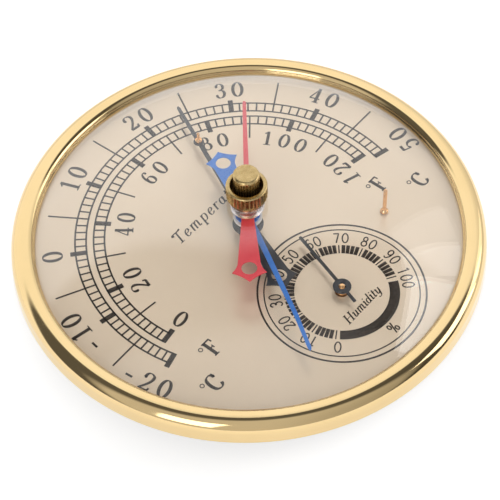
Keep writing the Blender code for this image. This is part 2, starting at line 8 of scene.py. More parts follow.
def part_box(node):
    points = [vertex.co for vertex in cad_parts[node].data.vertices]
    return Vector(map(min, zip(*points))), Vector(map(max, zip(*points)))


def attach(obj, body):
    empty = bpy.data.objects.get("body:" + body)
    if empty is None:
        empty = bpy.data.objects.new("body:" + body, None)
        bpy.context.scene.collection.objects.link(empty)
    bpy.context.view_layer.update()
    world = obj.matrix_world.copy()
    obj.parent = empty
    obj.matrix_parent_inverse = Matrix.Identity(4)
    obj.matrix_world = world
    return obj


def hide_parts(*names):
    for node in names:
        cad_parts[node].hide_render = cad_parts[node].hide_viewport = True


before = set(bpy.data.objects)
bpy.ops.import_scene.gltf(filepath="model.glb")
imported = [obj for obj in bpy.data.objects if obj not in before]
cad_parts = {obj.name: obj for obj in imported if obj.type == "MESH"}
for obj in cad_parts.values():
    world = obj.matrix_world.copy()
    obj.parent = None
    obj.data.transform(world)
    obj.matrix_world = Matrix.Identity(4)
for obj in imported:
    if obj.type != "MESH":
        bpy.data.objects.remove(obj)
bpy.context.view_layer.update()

# The instrument lies face up: +Z leaves the dial, +Y is twelve o'clock and the
# turning axis of the big hands is the Z axis.  Sizes below are in millimetres.
MM = 0.001


def box_mm(node):
    low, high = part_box(node)
    return low / MM, high / MM


def middle_mm(node):
    """X and Y of the middle of a node's box."""
    low, high = box_mm(node)
    return (low.x + high.x) / 2, (low.y + high.y) / 2


DIAL_TOP = box_mm("dial_plate")[1].z
BEZEL_HIGH = box_mm("bezel")[1]
CRYSTAL_HIGH = box_mm("crystal")[1]
HUMIDITY_Y = middle_mm("humidity_arbor")[1]
GAP = 0.3

# Where the hands stand at rest, clockwise from twelve o'clock
TEMPERATURE_ANGLE = 24.8
HUMIDITY_ANGLE = 17.0
MAXIMUM_ANGLE = 48.5
MINIMUM_ANGLE = -150.5

RING_STEPS = 256
PIN_STEPS = 48
KNOB_STEPS = 420

OUTER_KNOB_RADIUS = 5.65
OUTER_KNOB_TOP = box_mm("outer_knob")[1].z
OUTER_RIBS = 30
OUTER_RIB_DEPTH = 0.55
OUTER_RIB_TOP = OUTER_KNOB_TOP - 0.5
INNER_KNOB_RADIUS = 3.6
INNER_KNOB_TOP = box_mm("inner_knob")[1].z
INNER_RIBS = 28
INNER_RIB_DEPTH = 0.36
INNER_RIB_TOP = INNER_KNOB_TOP - 1.0


# Shader helpers


def new_look(name):
    """Node material with an empty Principled shader; returns material and a node maker."""
    look = bpy.data.materials.new(name)
    look.use_nodes = True
    return look, Nodes(look.node_tree)


class Nodes:
    """Short calls for the node kinds that the looks share."""

    def __init__(self, tree, coordinates="Object"):
        self.tree = tree
        self.shader = tree.nodes.get("Principled BSDF")
        self.place = tree.nodes.new("ShaderNodeTexCoord").outputs[coordinates]

    def link(self, source, target):
        self.tree.links.new(source, target)

    def make(self, kind, **values):
        node = self.tree.nodes.new(kind)
        for key, value in values.items():
            setattr(node, key, value)
        return node

    def product(self, first, second):
        node = self.make("ShaderNodeMath", operation="MULTIPLY")
        self.link(first, node.inputs[0])
        self.link(second, node.inputs[1])
        return node.outputs[0]

    def stretched(self, x, y, z):
        """Place on the object, scaled along each axis, to draw grain out."""
        node = self.make("ShaderNodeMapping")
        node.inputs["Scale"].default_value = (x, y, z)
        self.link(self.place, node.inputs["Vector"])
        return node.outputs[0]

    def noise(self, scale, detail=3.0, roughness=0.55, place=None, dimensions="3D"):
        node = self.make("ShaderNodeTexNoise", noise_dimensions=dimensions)
        node.inputs["Scale"].default_value = scale
        node.inputs["Detail"].default_value = detail
        node.inputs["Roughness"].default_value = roughness
        self.link(place or self.place, node.inputs["W" if dimensions == "1D" else "Vector"])
        return node.outputs["Fac"]

    def spread(self, source, low, high, from_low=0.3, from_high=0.7):
        """Map a value onto the range from low to high; noise mostly lies in 0.3 to 0.7."""
        node = self.make("ShaderNodeMapRange")
        sockets = ("From Min", "From Max", "To Min", "To Max")
        for name, value in zip(sockets, (from_low, from_high, low, high)):
            node.inputs[name].default_value = value
        self.link(source, node.inputs["Value"])
        return node.outputs["Result"]

    def mix(self, share, first, second):
        node = self.make("ShaderNodeMix", data_type="RGBA")
        self.link(share, node.inputs["Factor"])
        for socket, value in ((node.inputs[6], first), (node.inputs[7], second)):
            if isinstance(value, tuple):
                socket.default_value = (*value, 1.0)
            else:
                self.link(value, socket)
        return node.outputs[2]

    def tones(self, source, first, second):
        """Colour that drifts between two tones with a noise value."""
        return self.mix(self.spread(source, 0.0, 1.0), first, second)

    def tint(self, source, first, second):
        self.colour(self.tones(source, first, second))

    def axes(self):
        """Sockets with the place on the object along X, Y and Z, in metres."""
        parts = self.make("ShaderNodeSeparateXYZ")
        self.link(self.place, parts.inputs[0])
        return parts.outputs

    def radius(self):
        """Distance from the Z axis, in metres."""
        axes = self.axes()
        flat = self.make("ShaderNodeCombineXYZ")
        for axis in "XY":
            self.link(axes[axis], flat.inputs[axis])
        length = self.make("ShaderNodeVectorMath", operation="LENGTH")
        self.link(flat.outputs[0], length.inputs[0])
        return length.outputs["Value"]

    def bump(self, height, strength, depth):
        """Relief from a noise value, its depth in millimetres."""
        node = self.make("ShaderNodeBump")
        node.inputs["Strength"].default_value = strength
        node.inputs["Distance"].default_value = depth * MM
        self.link(height, node.inputs["Height"])
        self.link(node.outputs[0], self.shader.inputs["Normal"])

    def colour(self, socket):
        self.link(socket, self.shader.inputs["Base Color"])

    def wear(self, source, low, high):
        """Roughness that varies with a noise value."""
        self.link(self.spread(source, low, high), self.shader.inputs["Roughness"])

    def set(self, **values):
        for key, value in values.items():
            self.shader.inputs[key.replace("_", " ")].default_value = value


def gilt_look():
    """Lacquered gilt brass: mirror bright, with faint turning lines and smudges."""
    look, n = new_look("polished_gilt")
    n.tint(n.noise(38.0), (0.74, 0.550, 0.275), (0.79, 0.590, 0.305))
    smudge = n.noise(160.0, 4.0, 0.6)
    n.wear(smudge, 0.05, 0.12)
    lines = n.noise(9000.0, 1.0, 0.4, n.radius(), "1D")
    n.bump(lines, 0.05, 0.03)
    n.set(Metallic=1.0, Coat_Weight=0.15, Coat_Roughness=0.08)
    return look


def knurled_look(name, crest, depth, shoulder):
    """Turned and knurled brass, with painted shade that darkens it down in the grooves, which end at the
    shoulder.
    """
    look, n = new_look(name)
    metal = n.tones(n.noise(900.0, 4.0), (0.48, 0.345, 0.15), (0.62, 0.46, 0.225))
    # Painted shade: deeper in a groove and below the shoulder the colour turns to a dark brown, standing in
    # for the shadow in the recesses
    painted_groove_shade = n.spread(n.radius(), 1.0, 0.0, (crest - depth) * MM, (crest - 0.3 * depth) * MM)
    below = n.spread(n.axes()["Z"], 1.0, 0.0, (shoulder - 0.1) * MM, shoulder * MM)
    n.colour(n.mix(n.product(painted_groove_shade, below), metal, (0.22, 0.135, 0.05)))
    n.wear(n.noise(2600.0), 0.22, 0.36)
    n.bump(n.noise(5200.0, 2.0), 0.10, 0.03)
    n.set(Metallic=1.0)
    return look


def pin_look():
    """Copper-coloured turned pins."""
    look, n = new_look("pin_brass")
    n.tint(n.noise(1500.0), (0.78, 0.44, 0.20), (0.93, 0.60, 0.32))
    n.wear(n.noise(2600.0, 2.0), 0.12, 0.24)
    n.bump(n.noise(4200.0, 2.0, 0.5, n.stretched(1.0, 1.0, 6.0)), 0.08, 0.03)
    n.set(Metallic=1.0)
    return look


def dial_look():
    """Satin champagne metal under a clear lacquer, with a very fine grain."""
    look, n = new_look("champagne_dial")
    base = n.tones(n.noise(22.0, 2.0), (0.855, 0.70, 0.52), (0.89, 0.735, 0.56))
    grain = n.noise(5200.0, 2.0, 0.6)
    n.colour(n.mix(n.spread(grain, 0.0, 0.22), base, (0.725, 0.565, 0.40)))
    n.wear(grain, 0.32, 0.42)
    n.bump(grain, 0.12, 0.02)
    n.set(Metallic=0.5, Coat_Weight=0.15, Coat_Roughness=0.25)
    return look


def ink_look():
    """Screen-printed dark brown ink, a little uneven in density."""
    look, n = new_look("print_ink")
    tone = n.noise(1400.0, 4.0, 0.7)
    n.tint(tone, (0.031, 0.022, 0.015), (0.056, 0.041, 0.030))
    n.wear(tone, 0.28, 0.42)
    n.set(Specular_IOR_Level=0.2)
    return look


def enamel_look(name, dark, light, low, high):
    """Thin sprayed enamel with slight orange peel."""
    look, n = new_look(name)
    n.tint(n.noise(420.0), dark, light)
    n.wear(n.noise(1500.0), low, high)
    n.bump(n.noise(2400.0, 2.0), 0.10, 0.04)
    n.set(Coat_Weight=0.25, Coat_Roughness=0.18)
    return look


def case_look():
    """Moulded black plastic with a fine spark-eroded texture."""
    look, n = new_look("black_case")
    n.tint(n.noise(60.0), (0.018, 0.018, 0.020), (0.034, 0.034, 0.037))
    grain = n.noise(3200.0, 3.0, 0.65)
    n.wear(grain, 0.42, 0.62)
    n.bump(grain, 0.35, 0.06)
    return look


def metal_look(name, dark, light, roughness, grain_scale, stretch):
    """Plain sheet or turned metal with a drawn grain."""
    look, n = new_look(name)
    grain = n.noise(grain_scale, 3.0, 0.6, n.stretched(*stretch))
    n.tint(grain, dark, light)
    n.wear(grain, *roughness)
    n.bump(grain, 0.15, 0.03)
    n.set(Metallic=1.0)
    return look


def clear_look(name, tint, low, high, index, haze):
    """Clear plastic that lets the lamps through to what stands behind it."""
    look, n = new_look(name)
    paler = tuple(min(1.0, value * 1.02) for value in tint)
    n.tint(n.noise(60.0), tint, paler)
    n.wear(n.noise(240.0), low, high)
    n.bump(n.noise(120.0, 2.0), haze, 0.01)
    n.set(Transmission_Weight=1.0, IOR=index)
    path = n.make("ShaderNodeLightPath")
    through = n.make("ShaderNodeBsdfTransparent")
    through.inputs["Color"].default_value = (*tint, 1.0)
    choice = n.make("ShaderNodeMixShader")
    n.link(path.outputs["Is Shadow Ray"], choice.inputs[0])
    n.link(n.shader.outputs[0], choice.inputs[1])
    n.link(through.outputs[0], choice.inputs[2])
    n.link(choice.outputs[0], look.node_tree.nodes["Material Output"].inputs["Surface"])
    return look


def washer_look():
    """Pale nylon disc, matt and faintly mottled."""
    look, n = new_look("pale_nylon")
    tone = n.noise(800.0)
    n.tint(tone, (0.78, 0.76, 0.73), (0.86, 0.85, 0.82))
    n.wear(tone, 0.35, 0.50)
    n.bump(n.noise(2400.0, 2.0), 0.10, 0.03)
    return look


def floor_look():
    """Pale studio sweep that keeps only a soft contact shadow."""
    look, n = new_look("studio_floor")
    tone = n.noise(3.0, 2.0)
    n.tint(tone, (0.86, 0.86, 0.86), (0.88, 0.88, 0.88))
    n.wear(tone, 0.7, 0.8)
    n.set(Emission_Color=(1.0, 1.0, 1.0, 1.0), Emission_Strength=0.55)
    return look


GILT = gilt_look()
KNURLED_OUTER = knurled_look("knurled_brass", OUTER_KNOB_RADIUS, OUTER_RIB_DEPTH, OUTER_RIB_TOP)
KNURLED_INNER = knurled_look(
    "knurled_brass_inner", INNER_KNOB_RADIUS, INNER_RIB_DEPTH, INNER_RIB_TOP + 0.05
)
PIN = pin_look()
DIAL = dial_look()
INK = ink_look()
BLACK = enamel_look("black_enamel", (0.014, 0.014, 0.017), (0.026, 0.026, 0.030), 0.28, 0.40)
RED = enamel_look("red_enamel", (0.80, 0.045, 0.065), (0.87, 0.065, 0.085), 0.34, 0.46)
BLUE = enamel_look("blue_enamel", (0.035, 0.185, 0.620), (0.055, 0.235, 0.720), 0.34, 0.46)
CASE = case_look()
DRAWN_ALONG = (1.0, 6.0, 1.0)
DRAWN_UP = (1.0, 1.0, 8.0)
STEEL = metal_look("steel", (0.46, 0.46, 0.47), (0.66, 0.66, 0.67), (0.22, 0.38), 1800.0, DRAWN_ALONG)
BIMETAL = metal_look("bimetal", (0.50, 0.44, 0.36), (0.70, 0.63, 0.52), (0.26, 0.42), 1500.0, DRAWN_UP)
STRIP = metal_look(
    "humidity_strip", (0.36, 0.27, 0.18), (0.52, 0.41, 0.29), (0.45, 0.62), 1500.0, DRAWN_UP
)
CRYSTAL = clear_look("crystal", (0.985, 0.988, 0.990), 0.0, 0.015, 1.49, 0.04)
WASHER = washer_look()
NYLON = clear_look("clear_nylon", (0.93, 0.90, 0.93), 0.16, 0.30, 1.53, 0.10)


# Mesh helpers


def polar(radius, angle, y=0.0):
    """Place around a centre at height y, angle clockwise from twelve o'clock."""
    turn = math.radians(angle)
    return radius * math.sin(turn), radius * math.cos(turn) + y


def clock_turn(angle, y=0.0):
    """Turns what points to twelve o'clock to that angle, about an axis at height y."""
    return Matrix.Translation((0.0, y * MM, 0.0)) @ Matrix.Rotation(-math.radians(angle), 4, "Z")


def add_object(name, data):
    item = bpy.data.objects.new(name, data)
    bpy.context.scene.collection.objects.link(item)
    return item


def closed_mesh(name, builder):
    """Mesh with its faces turned outwards."""
    mesh = bpy.data.meshes.new(name)
    bmesh.ops.recalc_face_normals(builder, faces=builder.faces)
    builder.to_mesh(mesh)
    builder.free()
    return mesh


def finish_mesh(name, builder, look, body, sharp=40.0):
    mesh = closed_mesh(name, builder)
    for face in mesh.polygons:
        face.use_smooth = True
    mesh.set_sharp_from_angle(angle=math.radians(sharp))
    mesh.materials.append(look)
    piece = add_object(name, mesh)
    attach(piece, body)
    return piece


def arc(centre, radii, start, end, count):
    """Points on an arc of an ellipse, angles in degrees from its first axis."""
    points = []
    for index in range(count + 1):
        angle = math.radians(start + (end - start) * index / count)
        points.append((centre[0] + radii[0] * math.cos(angle), centre[1] + radii[1] * math.sin(angle)))
    return points


def fillet(x, y, radius, start, end, count):
    """Points on an arc of a circle, mostly for a rounded edge."""
    return arc((x, y), (radius, radius), start, end, count)


def loop(x, y, across, up, count):
    """Points around a whole ellipse."""
    return arc((x, y), (across, up), 0.0, 360.0, count)[:-1]


def lathe(name, profile, look, body, steps=PIN_STEPS, place=(0.0, 0.0), wave=None, sharp=40.0):
    """Solid of revolution; points at radius 0 close it on its axis.

    wave(angle, radius, height) may return another radius, for knurling.
    """
    builder = bmesh.new()
    rings = []
    for radius, height in profile:
        if radius == 0.0:
            rings.append([builder.verts.new((place[0] * MM, place[1] * MM, height * MM))])
            continue
        ring = []
        for step in range(steps):
            angle = 2.0 * math.pi * step / steps
            reach = wave(angle, radius, height) if wave else radius
            x = place[0] + reach * math.cos(angle)
            y = place[1] + reach * math.sin(angle)
            ring.append(builder.verts.new((x * MM, y * MM, height * MM)))
        rings.append(ring)
    pairs = list(zip(rings, rings[1:]))
    if profile[0][0] != 0.0:
        pairs.append((rings[-1], rings[0]))
    for first, second in pairs:
        for step in range(steps):
            after = (step + 1) % steps
            corners = [first[step % len(first)], first[after % len(first)]]
            corners += [second[after % len(second)], second[step % len(second)]]
            corners = list(dict.fromkeys(corners))
            if len(corners) > 2:
                builder.faces.new(corners)
    return finish_mesh(name, builder, look, body, sharp)


def stand_for(piece, node):
    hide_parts(node)


def soften(piece, width):
    """Bevel on the sharp edges."""
    bevel = piece.modifiers.new("Edges", "BEVEL")
    bevel.width = width * MM
    bevel.segments = 2
    bevel.limit_method = "ANGLE"
    bevel.angle_limit = math.radians(50.0)


# Case, bezel and crystal

CRYSTAL_DROP = 12.9         # the dome's crown above its rim
CRYSTAL_THICKNESS = 1.5
CRYSTAL_RIM_THICKNESS = 1.2
DIAL_SEAT = DIAL_TOP - 1.1  # ledge under the dial plate


def make_bezel():
    """Gilt ring: roll against the window, broad rolled crest and flared skirt."""
    crest = BEZEL_HIGH.z - 0.45
    skirt = BEZEL_HIGH.x
    inner = 59.15
    inner_roll = 1.85
    outer_roll = 3.3
    outer_turn = 62.4
    wall = 61.3
    rebate = 64.2
    profile = [
        *fillet(inner + inner_roll, crest - 0.06 - inner_roll, inner_roll, 180.0, 92.0, 16),
        *fillet(outer_turn, crest - outer_roll, outer_roll, 90.0, 4.0, 30),
        (skirt - 0.28, DIAL_TOP + 0.3), (skirt - 0.12, DIAL_TOP - 0.9), (skirt, DIAL_TOP - 2.0),
        *fillet(skirt - 0.35, DIAL_TOP - 2.45, 0.35, 0.0, -90.0, 4),
        (rebate, DIAL_TOP - 2.8), (rebate, DIAL_SEAT), (wall, DIAL_SEAT),
        (wall, crest - 2.2), (inner, crest - 2.2),
    ]
    piece = lathe("bezel_ring", profile, GILT, "case", RING_STEPS, sharp=50.0)
    stand_for(piece, "bezel")


def make_inner_ring():
    low, high = box_mm("inner_ring")
    inner = 58.8
    profile = [
        (high.x, high.z), (high.x, low.z), (inner, low.z),
        *fillet(inner + 0.45, low.z + 0.55, 0.45, 200.0, 120.0, 5),
        (inner + 0.5, high.z),
    ]
    stand_for(lathe("dial_ring", profile, GILT, "case", RING_STEPS), "inner_ring")


def make_crystal():
    """Dome with a flat middle and steep sides, open in the middle for the bush."""
    apex = CRYSTAL_HIGH.z
    rim = apex - CRYSTAL_DROP
    hole = 3.4
    dome = 59.7
    power = 3.0
    steps = 72

    def surface(low, high):
        points = []
        for step in range(steps + 1):
            radius = hole + (dome - hole) * math.sin(0.5 * math.pi * step / steps)
            points.append((radius, low + (high - low) * (1.0 - (radius / dome) ** power)))
        return points

    low_rim = rim - CRYSTAL_RIM_THICKNESS
    edge = [(CRYSTAL_HIGH.x, rim), (CRYSTAL_HIGH.x, low_rim)]
    profile = surface(rim, apex) + edge + surface(low_rim, apex - CRYSTAL_THICKNESS)[::-1]
    piece = lathe("crystal_dome", profile, CRYSTAL, "case", RING_STEPS, sharp=50.0)
    stand_for(piece, "crystal")


def make_case():
    """Moulded cup with vents, hanging keyhole and setting holes."""
    flange = box_mm("back_case")[1].x
    wall = 57.5
    inner = wall - 1.4
    floor = 1.6
    groove = 47.0
    profile = [
        (0.0, floor), (inner - 0.6, floor), (inner, floor + 0.6),
        (inner, DIAL_SEAT), (60.4, DIAL_SEAT), (60.4, DIAL_TOP - 1.4),
        *fillet(flange - 0.3, DIAL_TOP - 1.7, 0.3, 90.0, 0.0, 4),
        *fillet(flange - 0.3, DIAL_TOP - 2.5, 0.3, 0.0, -90.0, 4),
        *fillet(wall + 0.6, DIAL_TOP - 3.4, 0.6, 90.0, 180.0, 5),
        *fillet(wall - 1.6, 1.6, 1.6, 0.0, -90.0, 10),
        (groove + 1.0, 0.0),
        *arc((groove + 0.6, 0.0), (0.4, 0.3), 0.0, 90.0, 3),
        *arc((groove - 0.6, 0.0), (0.4, 0.3), 90.0, 180.0, 3),
        (0.0, 0.0),
    ]
    piece = lathe("case_shell", profile, CASE, "case", RING_STEPS)
    stand_for(piece, "back_case")
    cutter = bmesh.new()
    for index in range(12):
        add_slot(cutter, (index + 0.5) * 30.0, middle=24.5, half_length=6.5, half_width=1.3)
    add_drill(cutter, (0.0, 40.0), radius=4.2, steps=48)
    for setting_hole in ((9.0, 0.0), (7.0, HUMIDITY_Y)):
        add_drill(cutter, setting_hole, radius=1.6, steps=32)
    for angle in (60.0, 180.0, 300.0):
        add_drill(cutter, polar(62.6, angle), 1.15, 24, DIAL_TOP - 4.0, DIAL_TOP - 0.5)
    subtract(piece, "case_openings", cutter)
    neck = bmesh.new()
    add_slot(neck, 0.0, middle=44.5, half_length=5.0, half_width=2.2)
    subtract(piece, "keyhole_neck", neck)
    soften(piece, 0.2)


def add_drill(builder, place, radius, steps, low=-1.0, high=3.0):
    """Upright cylinder that cuts a round hole."""
    bmesh.ops.create_cone(
        builder, cap_ends=True, segments=steps, depth=(high - low) * MM,
        radius1=radius * MM, radius2=radius * MM,
        matrix=Matrix.Translation((place[0] * MM, place[1] * MM, (low + high) / 2 * MM)),
    )


def add_slot(builder, angle, middle, half_length, half_width, low=-1.0, high=3.0):
    """Round-ended slot lying along a radius, as one closed prism."""
    reach = half_length - half_width
    outline = fillet(0.0, middle + reach, half_width, 0.0, 180.0, 8)
    outline += fillet(0.0, middle - reach, half_width, 180.0, 360.0, 8)
    turned = clock_turn(angle)
    lower, upper = (
        [builder.verts.new(turned @ Vector((x * MM, y * MM, height * MM))) for x, y in outline]
        for height in (low, high)
    )
    builder.faces.new(lower[::-1])
    builder.faces.new(upper)
    for index in range(len(outline)):
        after = (index + 1) % len(outline)
        builder.faces.new((lower[index], lower[after], upper[after], upper[index]))


def subtract(piece, name, builder):
    cutter = add_object(name, closed_mesh(name, builder))
    cutter.hide_render = True
    cutter.hide_viewport = True
    cutter.parent = piece
    boolean = piece.modifiers.new(name, "BOOLEAN")
    boolean.operation = "DIFFERENCE"
    boolean.solver = "EXACT"
    boolean.object = cutter


# Pins, bushes and arbors


def turn_part(node, profile, look, body, place=(0.0, 0.0)):
    stand_for(lathe(f"{node}_turned", profile, look, body, place=place), node)


def make_turned_parts():
    """Small turned parts, each standing for its coarser CAD solid."""
    low, high = box_mm("stop_pin")
    foot = DIAL_TOP + GAP
    profile = [
        (0.0, high.z),
        *fillet(0.2, high.z - 0.35, 0.35, 90.0, 0.0, 5),
        (0.55, foot + 1.5),
        *arc((1.15, foot + 1.25), (0.6, 0.65), 180.0, 250.0, 5),
        (1.15, foot + 0.35), (1.15, foot), (0.5, foot),
        (0.5, low.z), (0.0, low.z),
    ]
    turn_part("stop_pin", profile, PIN, "case", middle_mm("stop_pin"))

    low, high = box_mm("push_pin")
    shank = 0.42
    seat = low.z + 0.15 + HAND_THICKNESS + GAP
    profile = [
        (0.0, high.z),
        *fillet(0.12, high.z - 0.3, 0.3, 90.0, 0.0, 5),
        (shank, seat + 0.95),
        *arc((0.75, seat + 0.85), (0.33, 0.3), 180.0, 270.0, 5),
        *fillet(0.8, seat + 0.35, 0.2, 90.0, 0.0, 4),
        (1.0, seat), (shank, seat), (shank, low.z),
        (0.0, low.z),
    ]
    turn_part("push_pin", profile, PIN, "temperature", middle_mm("push_pin"))

    make_sleeve("temperature_bush", neck=2.6, bore=1.5, flange=4.2)
    make_sleeve("humidity_bush", neck=1.6, bore=1.0, flange=3.0, y=HUMIDITY_Y)
    make_rod("temperature_arbor", STEEL, "temperature", 1.2)
    make_rod("humidity_arbor", PIN, "humidity", 0.7, HUMIDITY_Y)
    make_rod("minimum_rod", STEEL, "minimum", 1.0)
    make_tube("temperature_collet", STEEL, "temperature", outer=2.6, inner=1.5)
    make_tube("maximum_tube", PIN, "maximum", outer=1.9, inner=1.35)
    make_tube("friction_washer", PIN, "case", outer=3.6, inner=2.25)
    make_tube("minimum_washer", WASHER, "minimum", outer=4.0, inner=1.3)

    low, high = box_mm("crystal_bush")
    shoulder = CRYSTAL_HIGH.z - CRYSTAL_THICKNESS - GAP
    bore = 2.3
    flange = 4.7
    profile = [
        (bore, high.z),
        *fillet(2.8, high.z - 0.2, 0.2, 90.0, 0.0, 3),
        (3.0, shoulder),
        *fillet(flange - 0.3, shoulder - 0.3, 0.3, 90.0, 0.0, 4),
        *fillet(flange - 0.3, low.z + 0.3, 0.3, 0.0, -90.0, 4),
        (bore, low.z),
    ]
    stand_for(lathe("clear_sleeve", profile, NYLON, "case", 96), "crystal_bush")


def make_rod(node, look, body, radius, y=0.0):
    """Arbor with slightly rounded ends."""
    low, high = box_mm(node)
    edge = radius * 0.25
    profile = [
        (0.0, high.z),
        *fillet(radius - edge, high.z - edge, edge, 90.0, 0.0, 4),
        *fillet(radius - edge, low.z + edge, edge, 0.0, -90.0, 4),
        (0.0, low.z),
    ]
    turn_part(node, profile, look, body, (0.0, y))


def make_tube(node, look, body, outer, inner):
    """Tube or washer with a small chamfer on its outer edges."""
    low, high = box_mm(node)
    edge = 0.08
    profile = [
        (inner, high.z), (outer - edge, high.z), (outer, high.z - edge),
        (outer, low.z + edge), (outer - edge, low.z), (inner, low.z),
    ]
    turn_part(node, profile, look, body)


def make_sleeve(node, neck, bore, flange, y=0.0):
    """Flanged brass bearing pushed up through the dial."""
    low, high = box_mm(node)
    step = low.z + 0.9
    edge = 0.12
    profile = [
        (bore, high.z), (neck - edge, high.z), (neck, high.z - edge),
        (neck, step), (flange, step), (flange, low.z),
        (bore, low.z),
    ]
    turn_part(node, profile, PIN, "case", (0.0, y))


# Setting knobs


def knurl(count, depth, top, bottom, outer):
    """Straight rounded grooves around a knob, running out at its two ends."""

    def wave(angle, radius, height):
        if radius < outer - 0.25 or not bottom <= height <= top:
            return radius
        share = 0.5 - 0.5 * math.cos(count * angle)
        return radius - depth * share**0.8

    return wave


def make_knob(node, profile, look, body, wave):
    piece = lathe(f"{node}_knurled", profile, look, body, KNOB_STEPS, wave=wave, sharp=35.0)
    stand_for(piece, node)


def make_outer_knob():
    """Knurled cup that the inner knob stands in."""
    low = box_mm("outer_knob")[0]
    outer = OUTER_KNOB_RADIUS
    top = OUTER_KNOB_TOP
    cup = 4.45
    floor = low.z + 1.3
    bore = 2.2
    profile = [
        *fillet(cup + 0.2, top - 0.2, 0.2, 180.0, 90.0, 4),
        (outer - 0.55, top),
        *arc((outer - 0.42, top - 0.36), (0.42, 0.36), 74.0, 0.0, 5),
        (outer, top - 0.55), (outer, low.z + 0.6), (outer, low.z + 0.4),
        (outer - 0.3, low.z), (bore, low.z), (bore, floor),
        (cup - 0.2, floor), (cup, floor + 0.2),
    ]
    wave = knurl(OUTER_RIBS, OUTER_RIB_DEPTH, OUTER_RIB_TOP, low.z + 0.35, outer)
    make_knob("outer_knob", profile, KNURLED_OUTER, "maximum", wave)


def make_inner_knob():
    """Knurled button with a slightly crowned top and a blind bore for its rod."""
    low = box_mm("inner_knob")[0]
    outer = INNER_KNOB_RADIUS
    top = INNER_KNOB_TOP
    bore = 1.3
    bore_top = low.z + 4.0
    profile = [
        (0.0, top - 0.06), (1.6, top - 0.02), (outer - 0.75, top),
        *arc((outer - 0.65, top - 0.6), (0.65, 0.6), 80.0, 0.0, 6),
        (outer, top - 0.9), (outer, top - 1.1), (outer, low.z + 0.2),
        (outer - 0.2, low.z), (bore, low.z), (bore, bore_top),
        (0.0, bore_top),
    ]
    wave = knurl(INNER_RIBS, INNER_RIB_DEPTH, INNER_RIB_TOP, low.z + 0.1, outer)
    make_knob("inner_knob", profile, KNURLED_INNER, "minimum", wave)


# Hands

HAND_THICKNESS = 0.35
TAIL_HOLE_PLACE = 19.7
TAIL_HOLE_RADIUS = 2.1
TAIL_NECK = 1.3
TAIL_WAIST = 18.1
TAIL_WAIST_HALF_WIDTH = 3.05
TAIL_CORNER = 21.2
TAIL_HALF_WIDTH = 4.6
TAIL_END = 24.1
TAIL_STEPS = 8
BLADE_HALF_WIDTH = 0.85
BLADE_TIP_HALF_WIDTH = 0.5
BEND_RADIUS = 36.0          # the markers' tips drop beyond this
BOSS_PLACE = 33.4           # wide spot around the push pin
BOSS_RADIUS = 1.5
PUSH_PIN_HOLE = 0.75


def hub_side(radius, top, bottom, count, y=0.0):
    """Right side of a disc, short of its top and bottom by those many degrees."""
    return fillet(0.0, y, radius, 90.0 - top, bottom - 90.0, count)


def angle_beside(half_width, radius):
    """Degrees of a disc's rim that a bar hides on each side of its middle line."""
    return math.degrees(math.asin(half_width / radius))


def hand_outline(hub, tip, boss=None):
    """Right half of a hand pointing along +Y, from its tip down to its tail."""
    half = [(0.0, tip), (BLADE_TIP_HALF_WIDTH * 0.6, tip - 0.15), (BLADE_TIP_HALF_WIDTH, tip - 0.8)]
    if boss:
        blade = BLADE_HALF_WIDTH + (BLADE_TIP_HALF_WIDTH - BLADE_HALF_WIDTH) * boss / tip
        reach = angle_beside(blade, BOSS_RADIUS)
        half += hub_side(BOSS_RADIUS, reach, reach, 12, boss)
    half += hub_side(hub, angle_beside(BLADE_HALF_WIDTH, hub), angle_beside(TAIL_NECK + 0.38, hub), 24)
    for step in range(TAIL_STEPS + 1):
        share = step / TAIL_STEPS
        width = TAIL_WAIST_HALF_WIDTH + (TAIL_HALF_WIDTH - TAIL_WAIST_HALF_WIDTH) * share**1.7
        half.append((width, -TAIL_WAIST - (TAIL_CORNER - TAIL_WAIST) * share))
    for step in range(1, TAIL_STEPS):
        share = step / TAIL_STEPS
        sag = 0.28 * math.sin(math.pi * share)
        y = -TAIL_CORNER - (TAIL_END - TAIL_CORNER) * share + sag
        half.append((TAIL_HALF_WIDTH * (1.0 - share) - sag * 0.5, y))
    return half + [(0.0, -TAIL_END)]


def make_plate(name, half, holes, height, look, body, turn, bend=0.0):
    """Flat stamped sheet from half an outline, with round holes and softened edges."""
    outline = half + [(-x, y) for x, y in reversed(half) if x > 1e-6]
    builder = bmesh.new()
    edges = []
    for points in [outline] + holes:
        corners = [builder.verts.new((x * MM, y * MM, 0.0)) for x, y in points]
        for index in range(len(corners)):
            edges.append(builder.edges.new((corners[index], corners[(index + 1) % len(corners)])))
    bmesh.ops.triangle_fill(builder, use_beauty=True, use_dissolve=False, edges=edges)
    if bend:
        bmesh.ops.bisect_plane(
            builder,
            geom=builder.verts[:] + builder.edges[:] + builder.faces[:],
            plane_co=(0.0, BEND_RADIUS * MM, 0.0), plane_no=(0.0, 1.0, 0.0),
        )
    bmesh.ops.recalc_face_normals(builder, faces=builder.faces)
    if builder.faces[:][0].normal.z > 0.0:
        bmesh.ops.reverse_faces(builder, faces=builder.faces[:])
    raised = bmesh.ops.extrude_face_region(builder, geom=builder.faces[:])
    for item in raised["geom"]:
        if isinstance(item, bmesh.types.BMVert):
            item.co.z += HAND_THICKNESS * MM
    for vertex in builder.verts:
        vertex.co.z += height * MM - bend * max(0.0, vertex.co.y - BEND_RADIUS * MM)
        vertex.co = turn @ vertex.co
    piece = finish_mesh(name, builder, look, body, 30.0)
    soften(piece, 0.06)
    return piece


